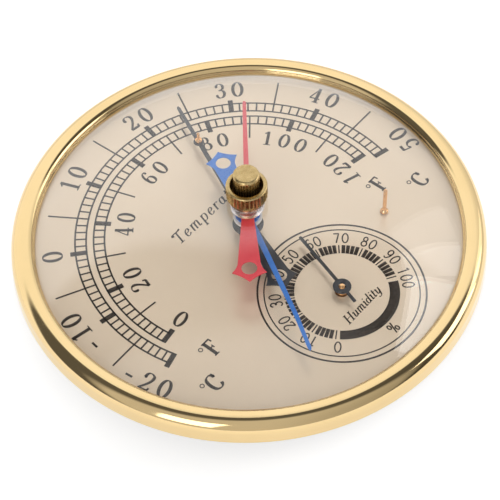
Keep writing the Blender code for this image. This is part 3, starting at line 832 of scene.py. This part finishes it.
def make_hands():
    """Three big hands on the middle axis, then the short one of the sub-dial."""
    for name, node, body, look, slot, angle, hub, bore, tip, boss, bend in (
        ("temperature_pointer", "temperature_hand", "temperature", BLACK, "black_enamel",
         TEMPERATURE_ANGLE, 4.3, 1.5, 48.4, BOSS_PLACE, 0.0),
        ("red_marker", "maximum_marker", "maximum", RED, "red_enamel",
         MAXIMUM_ANGLE, 3.3, 1.55, 41.5, None, 0.25),
        ("blue_marker", "minimum_marker", "minimum", BLUE, "blue_enamel",
         MINIMUM_ANGLE, 3.4, 1.3, 46.2, None, 0.2),
    ):
        holes = [loop(0.0, 0.0, bore, bore, 32)]
        holes.append(loop(0.0, -TAIL_HOLE_PLACE, TAIL_HOLE_RADIUS, TAIL_HOLE_RADIUS, 40))
        if boss:
            holes.append(loop(0.0, boss, PUSH_PIN_HOLE, PUSH_PIN_HOLE, 20))
        low, high = box_mm(node)
        height = high.z - HAND_THICKNESS if bend else low.z
        turn = clock_turn(angle)
        piece = make_plate(name, hand_outline(hub, tip, boss), holes, height, look, body, turn, bend)
        stand_for(piece, node)

    hub = 2.5
    bar = 0.45
    tip = 20.1
    tail = -6.0
    reach = angle_beside(bar, hub)
    half = [(0.0, tip), (bar * 0.7, tip - 0.1), (bar, tip - 0.4)]
    half += hub_side(hub, reach, reach, 24)
    half += [(bar, tail + 0.1), (bar * 0.8, tail), (0.0, tail)]
    height = box_mm("humidity_hand")[0].z
    turn = clock_turn(HUMIDITY_ANGLE, HUMIDITY_Y)
    holes = [loop(0.0, 0.0, 1.0, 1.0, 28)]
    piece = make_plate("humidity_pointer", half, holes, height, BLACK, "humidity", turn)
    stand_for(piece, "humidity_hand")


# Print on the dial

INK_HEIGHT = DIAL_TOP + 0.03
INK_THICKNESS = 0.02
CELSIUS_BAND = (44.75, 47.8)
FAHRENHEIT_BAND = (39.7, 42.7)
LINE = 0.48
BLOCK = 1.45
MIDDLE_CELSIUS = 15.0       # where the scale opens most


def scale_angle(celsius):
    """Place of a temperature on the dial; the scale opens a little in the middle."""
    step = celsius - MIDDLE_CELSIUS
    return -3.05 + 3.1 * step + 0.0022 * step**2 - 0.0001 * step**3


def fahrenheit_angle(fahrenheit):
    return scale_angle((fahrenheit - 32.0) / 1.8)


def path_directions(points, closed):
    """Unit vector along a path at each of its points."""
    ahead = points[1:] + [points[0] if closed else points[-1]]
    behind = [points[-1] if closed else points[0]] + points[:-1]
    return [Vector((b[0] - a[0], b[1] - a[1])).normalized() for a, b in zip(behind, ahead)]


class Print:
    """Collects inked shapes on the dial face into one piece."""

    def __init__(self, name):
        self.name = name
        self.builder = bmesh.new()

    def corner(self, x, y):
        return self.builder.verts.new((x * MM, y * MM, INK_HEIGHT * MM))

    def ribbon(self, points, halves, closed=False):
        """Strip along points, halves holding its half width at each of them."""
        rails = []
        for (x, y), half, along in zip(points, halves, path_directions(points, closed)):
            side = Vector((-along.y, along.x)) * half
            rails.append((self.corner(x + side.x, y + side.y), self.corner(x - side.x, y - side.y)))
        pairs = list(zip(rails, rails[1:]))
        if closed:
            pairs.append((rails[-1], rails[0]))
        for first, second in pairs:
            self.builder.faces.new((first[0], first[1], second[1], second[0]))

    def ring(self, radius, width, start=0.0, end=360.0, y=0.0):
        """Circle line or part of one, angles clockwise from twelve o'clock."""
        steps = max(6, int(abs(end - start) / 1.5))
        closed = abs(end - start) >= 360.0
        count = steps if closed else steps + 1
        points = [polar(radius, start + (end - start) * step / steps, y) for step in range(count)]
        self.ribbon(points, [width / 2] * count, closed)

    def spoke(self, angle, inner, outer, width, y=0.0):
        """Straight mark along a radius."""
        self.ribbon([polar(inner, angle, y), polar(outer, angle, y)], [width / 2] * 2)

    def disc(self, x, y, radius):
        self.builder.faces.new([self.corner(*place) for place in loop(x, y, radius, radius, 14)])

    def finish(self):
        piece = finish_mesh(self.name, self.builder, INK, "case")
        film = piece.modifiers.new("Ink", "SOLIDIFY")
        film.thickness = INK_THICKNESS * MM
        film.offset = 0.0


def make_scale(name, band, place, values, number_step, block, half_way):
    """Ladder-like band with blocks at the numbers and thin half-way lines.

    block and half_way are how far those marks pass the band, inwards and outwards.
    """
    scale = Print(name)
    for radius in band:
        scale.ring(radius, LINE, place(values[0]), place(values[-1]))
    for value in values:
        past, width = (0.0, 0.0), LINE
        if value % number_step == 0:
            past, width = block, BLOCK
        elif value % (number_step // 2) == 0:
            past = half_way
        scale.spoke(place(value), band[0] - past[0], band[1] + past[1], width)
    scale.finish()


def make_scales():
    make_scale(
        "celsius_scale", CELSIUS_BAND, scale_angle, range(-20, 51), 10, (0.2, 1.45), (0.0, 8.4)
    )
    make_scale(
        "fahrenheit_scale", FAHRENHEIT_BAND, fahrenheit_angle, range(0, 121, 2), 20,
        (1.45, 0.2), (5.4, 0.0)
    )


# Letter shapes in cap heights: each has its width, then its strokes.  A stroke is
# ("curve" or "line", points, weight), ("ring", centre x, y, radii, weight),
# ("ball", x, y, radius) or ("serif", left, right, y).

GLYPHS = {
    "0": (0.6, ("ring", 0.3, 0.5, 0.235, 0.47, 1.0)),
    "1": (0.6,
        ("line", [(0.32, 0.0), (0.32, 1.0)], 1.0), ("line", [(0.33, 0.97), (0.13, 0.84)], 0.8),
        ("serif", 0.12, 0.52, 0.02)),
    "2": (0.6,
        ("curve", [(0.1, 0.72), (0.16, 0.92), (0.32, 0.98), (0.49, 0.88), (0.5, 0.68),
            (0.36, 0.42), (0.07, 0.07)], 0.9),
        ("line", [(0.06, 0.07), (0.5, 0.07)], 2.6), ("line", [(0.5, 0.04), (0.54, 0.24)], 0.6),
        ("ball", 0.13, 0.74, 0.075)),
    "3": (0.6,
        ("curve", [(0.12, 0.8), (0.2, 0.94), (0.34, 0.97), (0.47, 0.84), (0.44, 0.62), (0.24, 0.53)], 0.9),
        ("curve", [(0.24, 0.53), (0.45, 0.48), (0.51, 0.28), (0.42, 0.07), (0.24, 0.02), (0.1, 0.16)], 0.95),
        ("ball", 0.14, 0.79, 0.070), ("ball", 0.12, 0.19, 0.075)),
    "4": (0.6,
        ("line", [(0.4, 0.0), (0.4, 1.0)], 1.0), ("line", [(0.4, 0.98), (0.05, 0.28)], 0.42),
        ("line", [(0.04, 0.28), (0.57, 0.28)], 1.4), ("serif", 0.24, 0.56, 0.02)),
    "5": (0.6,
        ("line", [(0.14, 0.94), (0.48, 0.94)], 2.6), ("line", [(0.155, 0.96), (0.125, 0.52)], 0.45),
        ("curve", [(0.125, 0.53), (0.3, 0.62), (0.48, 0.5), (0.51, 0.28), (0.4, 0.06),
            (0.22, 0.02), (0.09, 0.15)], 0.95),
        ("ball", 0.12, 0.17, 0.075)),
    "6": (0.6,
        ("ring", 0.31, 0.29, 0.195, 0.265, 0.95),
        ("curve", [(0.48, 0.88), (0.38, 0.98), (0.23, 0.88), (0.12, 0.6), (0.115, 0.3)], 0.85),
        ("ball", 0.455, 0.86, 0.065)),
    "7": (0.6,
        ("line", [(0.08, 0.95), (0.52, 0.95)], 1.0), ("line", [(0.51, 0.95), (0.24, 0.0)], 0.9)),
    "8": (0.6,
        ("ring", 0.3, 0.755, 0.165, 0.215, 0.85), ("ring", 0.3, 0.275, 0.215, 0.255, 0.95)),
    "9": (0.6,
        ("ring", 0.29, 0.71, 0.195, 0.265, 0.95),
        ("curve", [(0.12, 0.12), (0.22, 0.02), (0.37, 0.12), (0.48, 0.4), (0.485, 0.7)], 0.85)),
    "-": (0.6, ("line", [(0.14, 0.4), (0.5, 0.4)], 2.0)),
    "F": (0.66,
        ("line", [(0.19, 0.0), (0.19, 1.0)], 1.0), ("line", [(0.05, 0.965), (0.58, 0.965)], 1.3),
        ("line", [(0.56, 0.98), (0.58, 0.76)], 0.45), ("line", [(0.19, 0.51), (0.42, 0.51)], 1.0),
        ("line", [(0.42, 0.62), (0.42, 0.4)], 0.35), ("serif", 0.04, 0.36, 0.02)),
    "C": (0.74,
        ("curve", [(0.63, 0.74), (0.56, 0.92), (0.38, 0.98), (0.17, 0.85), (0.1, 0.5),
            (0.17, 0.15), (0.38, 0.02), (0.56, 0.08), (0.65, 0.24)], 1.0),
        ("line", [(0.635, 0.98), (0.635, 0.7)], 0.4)),
    "T": (0.66,
        ("line", [(0.34, 0.02), (0.34, 0.96)], 0.9),
        ("curve", [(0.02, 0.8), (0.06, 0.93), (0.2, 0.96), (0.5, 0.95), (0.66, 1.02)], 1.6),
        ("serif", 0.18, 0.5, 0.02)),
    "H": (0.86,
        ("line", [(0.16, 0.0), (0.16, 1.0)], 0.95), ("line", [(0.64, 0.0), (0.64, 1.0)], 0.95),
        ("line", [(0.16, 0.52), (0.64, 0.52)], 1.1), ("serif", 0.02, 0.3, 0.02),
        ("serif", 0.5, 0.78, 0.02), ("serif", 0.02, 0.3, 0.97), ("serif", 0.5, 0.8, 0.97)),
    "a": (0.5,
        ("ring", 0.19, 0.3, 0.145, 0.28, 0.8),
        ("curve", [(0.36, 0.6), (0.35, 0.25), (0.37, 0.06), (0.46, 0.08)], 0.85)),
    "d": (0.52,
        ("ring", 0.19, 0.3, 0.145, 0.28, 0.8),
        ("curve", [(0.36, 1.02), (0.36, 0.6), (0.35, 0.22), (0.37, 0.05), (0.46, 0.08)], 0.85)),
    "e": (0.44,
        ("curve", [(0.07, 0.3), (0.24, 0.33), (0.35, 0.45), (0.26, 0.6), (0.12, 0.52),
            (0.05, 0.28), (0.12, 0.04), (0.26, 0.03), (0.38, 0.16)], 0.85)),
    "i": (0.28,
        ("curve", [(0.03, 0.5), (0.1, 0.6), (0.11, 0.4), (0.1, 0.1), (0.16, 0.02), (0.24, 0.09)], 0.9),
        ("ball", 0.13, 0.85, 0.065)),
    "m": (0.8,
        ("line", [(0.1, 0.0), (0.1, 0.6)], 0.9),
        ("curve", [(0.1, 0.44), (0.22, 0.6), (0.33, 0.56), (0.35, 0.4), (0.35, 0.0)], 0.85),
        ("curve", [(0.35, 0.44), (0.48, 0.6), (0.58, 0.56), (0.6, 0.38), (0.6, 0.08),
            (0.66, 0.02), (0.74, 0.09)], 0.85)),
    "p": (0.52,
        ("line", [(0.1, -0.32), (0.1, 0.6)], 0.9),
        ("curve", [(0.1, 0.42), (0.22, 0.59), (0.38, 0.54), (0.42, 0.3), (0.34, 0.06), (0.2, 0.01),
            (0.1, 0.12)], 0.8),
        ("serif", 0.0, 0.22, -0.31)),
    "r": (0.38,
        ("line", [(0.1, 0.0), (0.1, 0.6)], 0.9),
        ("curve", [(0.1, 0.38), (0.18, 0.56), (0.34, 0.58)], 0.8), ("ball", 0.33, 0.55, 0.055)),
    "t": (0.34,
        ("curve", [(0.13, 0.82), (0.12, 0.45), (0.11, 0.1), (0.18, 0.02), (0.28, 0.1)], 0.9),
        ("line", [(0.01, 0.57), (0.28, 0.57)], 1.0)),
    "u": (0.54,
        ("curve", [(0.03, 0.52), (0.1, 0.6), (0.11, 0.4), (0.11, 0.12), (0.2, 0.02), (0.34, 0.14),
            (0.38, 0.3)], 0.85),
        ("curve", [(0.39, 0.6), (0.38, 0.3), (0.38, 0.06), (0.48, 0.08)], 0.9)),
    "y": (0.5,
        ("curve", [(0.03, 0.52), (0.1, 0.6), (0.11, 0.4), (0.12, 0.12), (0.22, 0.03), (0.34, 0.16),
            (0.38, 0.3)], 0.85),
        ("curve", [(0.4, 0.6), (0.38, 0.2), (0.3, -0.2), (0.14, -0.3), (0.02, -0.22)], 0.85),
        ("ball", 0.04, -0.22, 0.055)),
    "%": (0.8,
        ("ring", 0.18, 0.74, 0.13, 0.2, 0.9), ("ring", 0.6, 0.26, 0.13, 0.2, 0.9),
        ("line", [(0.58, 1.0), (0.2, 0.0)], 0.5)),
}


def smooth_path(points, steps=7):
    """Catmull-Rom curve through the points."""
    path = []
    for index in range(len(points) - 1):
        a = Vector(points[max(0, index - 1)])
        b = Vector(points[index])
        c = Vector(points[index + 1])
        d = Vector(points[min(len(points) - 1, index + 2)])
        for step in range(steps):
            t = step / steps
            square = (2 * a - 5 * b + 4 * c - d) * t**2
            cube = (3 * b - a - 3 * c + d) * t**3
            path.append(tuple(0.5 * (2 * b + (c - a) * t + square + cube)))
    path.append(points[-1])
    return path


class Face:
    """A way of inking glyphs: height in millimetres, nib widths in cap heights, and slant."""

    def __init__(self, size, thin, thick, slant=0.0, serifs=True, wide=1.0):
        self.size = size
        self.wide = wide
        self.thin = thin
        self.thick = thick
        self.slant = slant
        self.serifs = serifs

    def draw(self, target, glyph, place):
        """Ink one glyph; place turns glyph millimetres into dial millimetres."""
        for kind, *data in GLYPHS[glyph][1:]:
            if kind == "serif":
                if self.serifs:
                    left, right, y = data
                    self.stroke(target, [(left, y), (right, y)], 1.0, place)
            elif kind == "ball":
                if self.serifs:
                    x, y, radius = data
                    target.disc(*self.set_down((x, y), place), radius * self.size)
            elif kind == "ring":
                *ellipse, weight = data
                self.stroke(target, loop(*ellipse, 36), weight, place, True)
            else:
                path, weight = data
                self.stroke(target, smooth_path(path) if kind == "curve" else path, weight, place)

    def set_down(self, point, place):
        x = (point[0] * self.wide + self.slant * point[1]) * self.size
        spot = place @ Vector((x, point[1] * self.size, 0.0))
        return spot.x, spot.y

    def stroke(self, target, path, weight, place, closed=False):
        """Broad-nib stroke: full width on the way down, thin on the way across."""
        if not self.serifs:
            weight = 1.0
        halves = []
        for along in path_directions(path, closed):
            width = self.thin + (self.thick - self.thin) * abs(along.y) ** 1.6
            halves.append(0.5 * width * weight * self.size)
        target.ribbon([self.set_down(point, place) for point in path], halves, closed)


NUMERAL_OUTER = Face(5.7, 0.055, 0.165)
NUMERAL_INNER = Face(5.1, 0.055, 0.165)
UNIT = Face(5.1, 0.07, 0.185)
ITALIC = Face(3.9, 0.05, 0.14, slant=0.28, wide=1.2)
ITALIC_BOLD = Face(2.85, 0.06, 0.16, slant=0.30, wide=1.2)
SANS = Face(3.35, 0.115, 0.115, serifs=False)


def ink_number(target, face, text, radius, angle, pitch, flipped=False, y=0.0):
    """Number set along a circle about the middle of its digits."""
    for index, glyph in enumerate(text):
        offset = (index - (len(text) - 1) / 2) * pitch
        turn = math.degrees(offset / radius)
        spot_angle = angle - turn if flipped else angle + turn
        tilt = -math.radians(spot_angle + (180.0 if flipped else 0.0))
        centre = Matrix.Translation((-GLYPHS[glyph][0] / 2 * face.size, -0.5 * face.size, 0.0))
        spot = Matrix.Translation((*polar(radius, spot_angle, y), 0.0))
        face.draw(target, glyph, spot @ Matrix.Rotation(tilt, 4, "Z") @ centre)


def ink_word(name, face, text, left, baseline, tracking):
    """Word on a straight line, tracking being extra millimetres per letter."""
    word = Print(name)
    x = left
    for glyph in text:
        face.draw(word, glyph, Matrix.Translation((x, baseline, 0.0)))
        x += GLYPHS[glyph][0] * face.size * face.wide + tracking
    word.finish()


def make_numerals():
    numerals = Print("celsius_numerals")
    for celsius in range(-20, 51, 10):
        step = celsius - MIDDLE_CELSIUS
        radius = 53.2 + 0.0025 * step**2 - 0.026 * step
        angle = scale_angle(celsius)
        if celsius == -20:
            # Set inwards, clear of the bezel
            angle += 2.6
            radius -= 1.7
        ink_number(numerals, NUMERAL_OUTER, str(celsius), radius, angle, 5.2, celsius in (-20, 50))
    numerals.finish()

    numerals = Print("fahrenheit_numerals")
    for fahrenheit in range(0, 121, 20):
        flipped = fahrenheit == 120
        pitch = 4.4 if flipped else 5.0
        angle = fahrenheit_angle(fahrenheit)
        ink_number(numerals, NUMERAL_INNER, str(fahrenheit), 34.4, angle, pitch, flipped)
    numerals.finish()


def make_unit_marks():
    """Degree signs with upright F and C beside both ends of the scales."""
    marks = Print("unit_marks")
    places = (("F", -37.2, -20.0), ("C", -45.3, -27.6), ("F", 34.3, -20.2), ("C", 42.6, -28.2))
    for glyph, x, y in places:
        UNIT.draw(marks, glyph, Matrix.Translation((x, y, 0.0)))
        marks.ribbon(loop(x - 0.9, y + 4.2, 0.55, 0.55, 20), [0.13] * 20, closed=True)
    marks.finish()


def humidity_angle(percent):
    return -122.0 + 2.44 * percent


def make_humidity_scale():
    """Double ring, comb of thick marks with thin ones at the numbers, and a black arc."""
    rings = Print("humidity_rings")
    rings.ring(22.6, 0.52, y=HUMIDITY_Y)
    rings.ring(20.85, 0.36, y=HUMIDITY_Y)
    rings.finish()

    scale = Print("humidity_scale")
    for percent in range(0, 101, 2):
        width = 0.36 if percent % 10 == 0 else 1.0
        scale.spoke(humidity_angle(percent), 12.75, 15.55, width, HUMIDITY_Y)
    scale.ring(14.15, 2.75, 127.5, 234.0, HUMIDITY_Y)
    scale.finish()

    numerals = Print("humidity_numerals")
    for percent in range(0, 101, 10):
        angle = -124.6 + 2.51 * percent
        ink_number(numerals, SANS, str(percent), 18.0, angle, 2.4, y=HUMIDITY_Y)
    SANS.draw(numerals, "%", Matrix.Translation((-2.1, -52.1, 0.0)))
    numerals.finish()


# What stays as CAD solids, with its finish


def finish_cad_nodes():
    looks = {
        "dial_plate": (DIAL, "champagne_dial"),
        "temperature_coil": (BIMETAL, "bimetal"),
        "humidity_coil": (STRIP, "humidity_strip"),
    }
    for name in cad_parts:
        if name.endswith(("_bridge", "_anchor", "_screw")) or name.startswith("case_screw"):
            looks[name] = (STEEL, "steel")
        elif name.endswith("_pillar"):
            looks[name] = (PIN, "pin_brass")
    for name, (look, slot) in looks.items():
        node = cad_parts[name]
        node.data.materials.clear()
        node.data.materials.append(look)


# Studio

# Along TENT_SLOPE a direction counts its height less 1.43 times its reach away
# from the camera, which is nought on the tent's upper edge
TENT_SLOPE = (-1.063, -0.957, 1.0)
TENT_LOW = -1.5
TENT_HIGH = 2.0
TENT_SHADES = ((-1.35, 0.62), (-0.8, 1.0), (0.03, 1.0), (0.16, 0.10), (0.82, 0.10), (1.08, 0.55))
CAMERA_RIGHT = (0.669, -0.743, 0.0)
DIMMED_BETWEEN = (0.05, 0.75)

LAMP_DISTANCE = 1.0         # metres, like the lamps' sizes
LAMP_ELEVATION = 33.0

CAMERA_SPOT = (-196.77, -176.61, DIAL_TOP + 334.66)
CAMERA_TARGET = (-4.62, -4.47, DIAL_TOP)
CAMERA_TILT = 2.268
CAMERA_LENS = 110.63


def make_world():
    """White tent beyond the instrument, with a sharp upper edge and a dark band above it.

    It is mid grey behind the camera, and dimmer towards the camera's right.
    """
    world = bpy.data.worlds.new("studio")
    bpy.context.scene.world = world
    world.use_nodes = True
    n = Nodes(world.node_tree, "Generated")
    background = world.node_tree.nodes["Background"]

    def reach(direction, limits, low, high):
        """How far the view goes along a direction, mapped from limits onto low to high."""
        along = n.make("ShaderNodeVectorMath", operation="DOT_PRODUCT")
        along.inputs[1].default_value = direction
        n.link(n.place, along.inputs[0])
        return n.spread(along.outputs["Value"], low, high, *limits)

    ramp = n.make("ShaderNodeValToRGB")
    n.link(reach(TENT_SLOPE, (TENT_LOW, TENT_HIGH), 0.0, 1.0), ramp.inputs[0])
    stops = ramp.color_ramp.elements
    for index, (height, shade) in enumerate(TENT_SHADES):
        position = (height - TENT_LOW) / (TENT_HIGH - TENT_LOW)
        stop = stops[index] if index < 2 else stops.new(position)
        stop.position = position
        stop.color = (shade, shade, shade, 1.0)
    n.link(ramp.outputs[0], background.inputs["Color"])
    n.link(reach(CAMERA_RIGHT, DIMMED_BETWEEN, 1.3, 0.85), background.inputs["Strength"])


def make_floor():
    builder = bmesh.new()
    bmesh.ops.create_grid(builder, x_segments=8, y_segments=8, size=3.0)
    mesh = bpy.data.meshes.new("studio_floor")
    builder.to_mesh(mesh)
    builder.free()
    mesh.materials.append(floor_look())
    floor = add_object("studio_floor", mesh)
    floor.location.z = -0.2 * MM


def make_camera():
    """Camera low over seven o'clock, turned a little about its own axis."""
    data = bpy.data.cameras.new("camera")
    data.sensor_width = 36.0
    data.lens = CAMERA_LENS
    data.clip_start = 0.01
    data.clip_end = 20.0
    camera = add_object("camera", data)
    spot = Vector(CAMERA_SPOT) * MM
    forward = (Vector(CAMERA_TARGET) * MM - spot).normalized()
    right = forward.cross(Vector((0.0, 0.0, 1.0))).normalized()
    down = forward.cross(right)
    tilt = math.radians(CAMERA_TILT)
    across = right * math.cos(tilt) + down * math.sin(tilt)
    up = -forward.cross(across)
    camera.matrix_world = Matrix.Translation(spot) @ Matrix((across, up, -forward)).transposed().to_4x4()
    bpy.context.scene.camera = camera


def softbox(name, azimuth, width, height, power):
    """Rectangular lamp facing the dial; azimuth runs from +X towards +Y."""
    lamp = bpy.data.lights.new(name, "AREA")
    lamp.shape = "RECTANGLE"
    lamp.size = width
    lamp.size_y = height
    lamp.energy = power
    item = add_object(name, lamp)
    rise = math.radians(LAMP_ELEVATION)
    arm = Vector((math.cos(rise), 0.0, math.sin(rise))) * LAMP_DISTANCE
    item.location = Matrix.Rotation(math.radians(azimuth), 3, "Z") @ arm
    away = item.location - Vector((0.0, 0.0, DIAL_TOP * MM))
    item.rotation_euler = away.to_track_quat("Z", "Y").to_euler()


make_bezel()
make_inner_ring()
make_crystal()
make_case()
make_turned_parts()
make_outer_knob()
make_inner_knob()
make_hands()
make_scales()
make_numerals()
make_unit_marks()
ink_word("temperature_word", ITALIC, "Temperature", left=-15.9, baseline=11.4, tracking=0.5)
ink_word("humidity_word", ITALIC_BOLD, "Humidity", left=-7.4, baseline=-40.9, tracking=0.02)
make_humidity_scale()
finish_cad_nodes()
make_world()
make_floor()
make_camera()
# The glare at the right fades in three steps
softbox("right_softbox", azimuth=-46.0, width=0.46, height=0.48, power=1.9)
softbox("right_step", azimuth=-24.0, width=0.18, height=0.48, power=0.42)
softbox("right_fade", azimuth=-12.5, width=0.18, height=0.48, power=0.17)
softbox("left_softbox", azimuth=195.0, width=0.36, height=0.62, power=1.7)
bpy.context.scene.view_settings.view_transform = "Standard"
